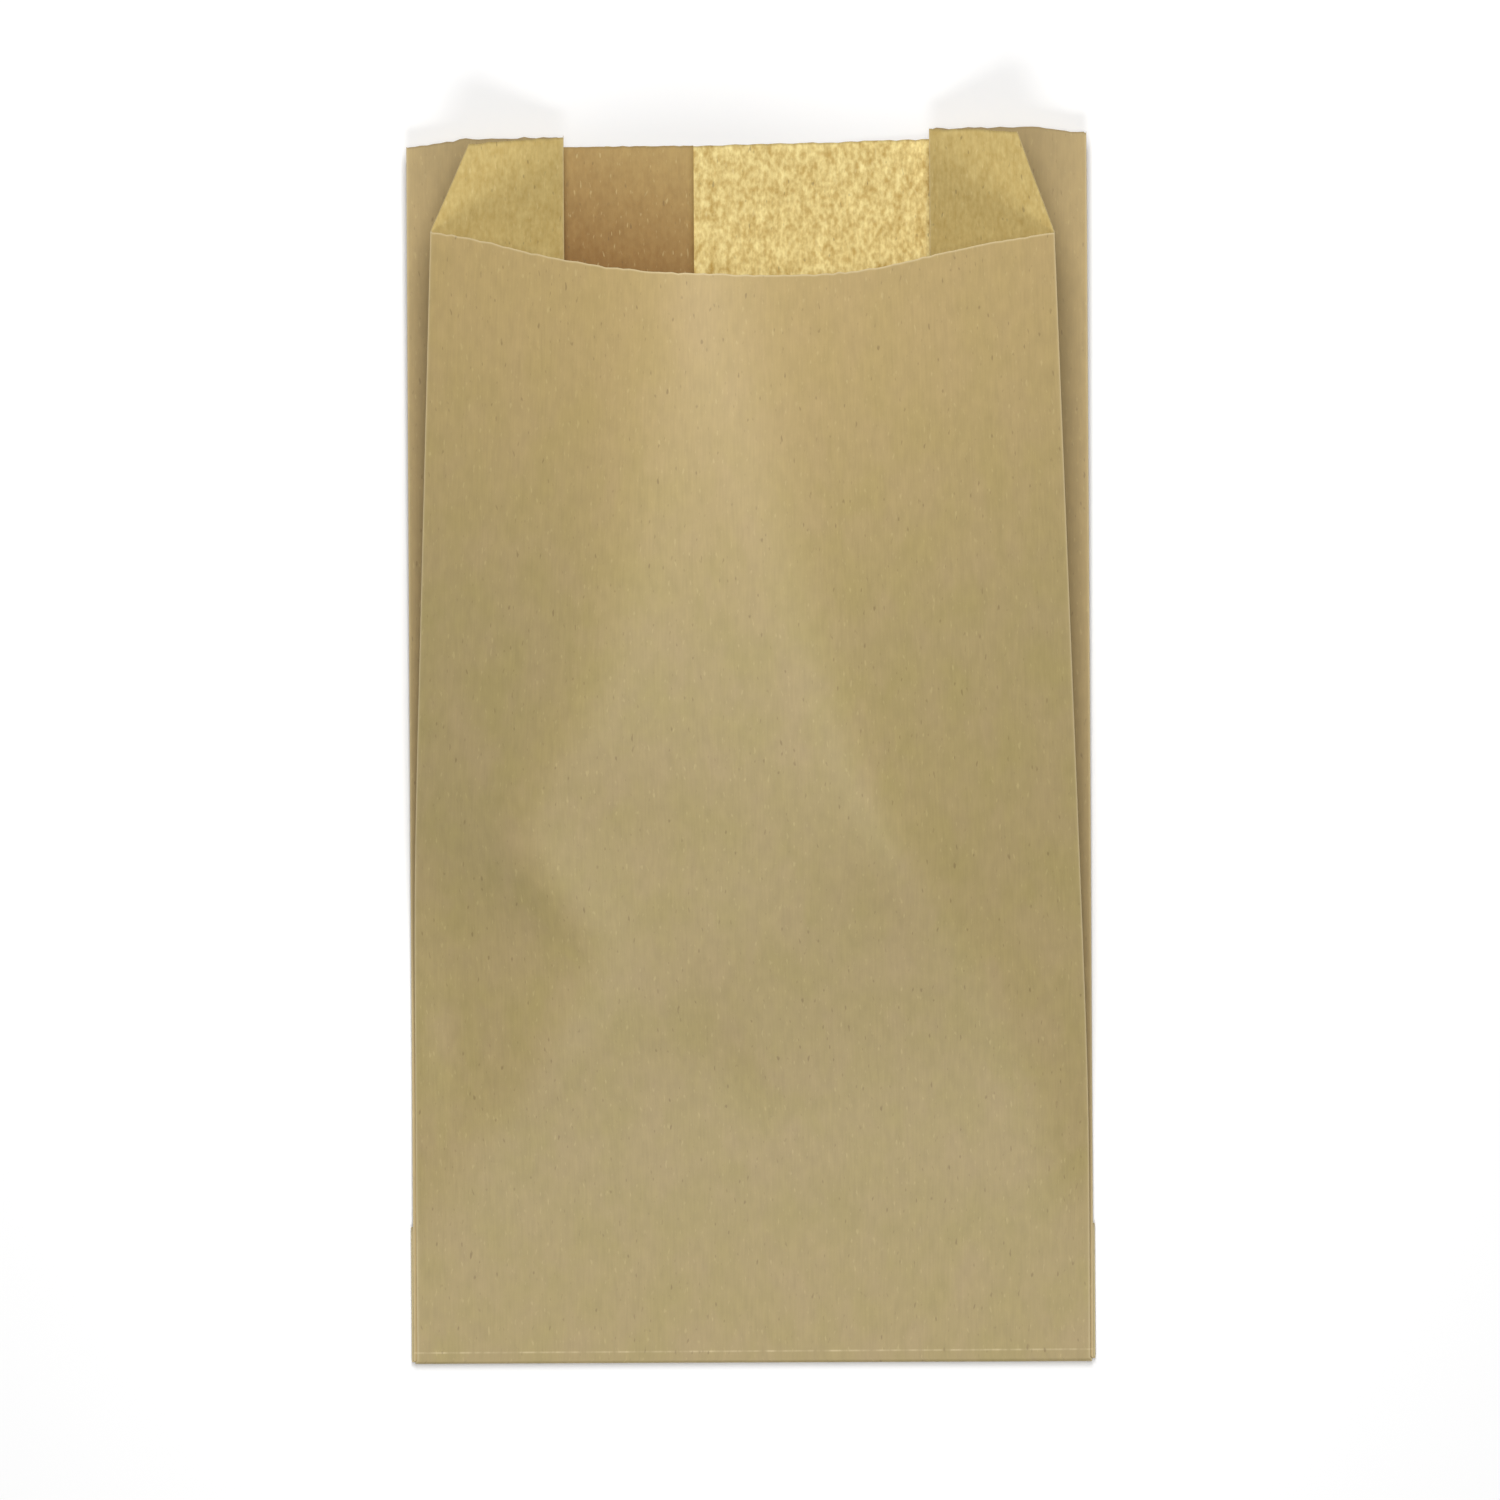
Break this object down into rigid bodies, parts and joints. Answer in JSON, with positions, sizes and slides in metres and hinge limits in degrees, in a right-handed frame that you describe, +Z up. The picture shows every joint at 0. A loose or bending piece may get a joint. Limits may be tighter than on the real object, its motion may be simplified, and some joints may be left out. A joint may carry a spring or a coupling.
{
  "type": "paper lunch bag",
  "caption": "Brown kraft paper lunch bag with side pleats and a turned-under glued bottom, lying on its back with its mouth a little open.",
  "frame": {"origin": "middle of the bag's footprint, on the surface that it lies on", "axes": "+X across the bag, +Y from the bottom fold towards the mouth, +Z up out of the front panel"},
  "size_m": [0.1802, 0.3272, 0.062],
  "materials": {
    "kraft_paper": "unbleached machine-glazed kraft paper, slightly sheeny, with fine vertical fibre lines"
  },
  "bodies": {
    "root": {"paper_bag": "kraft_paper"}
  },
  "joints": []
}
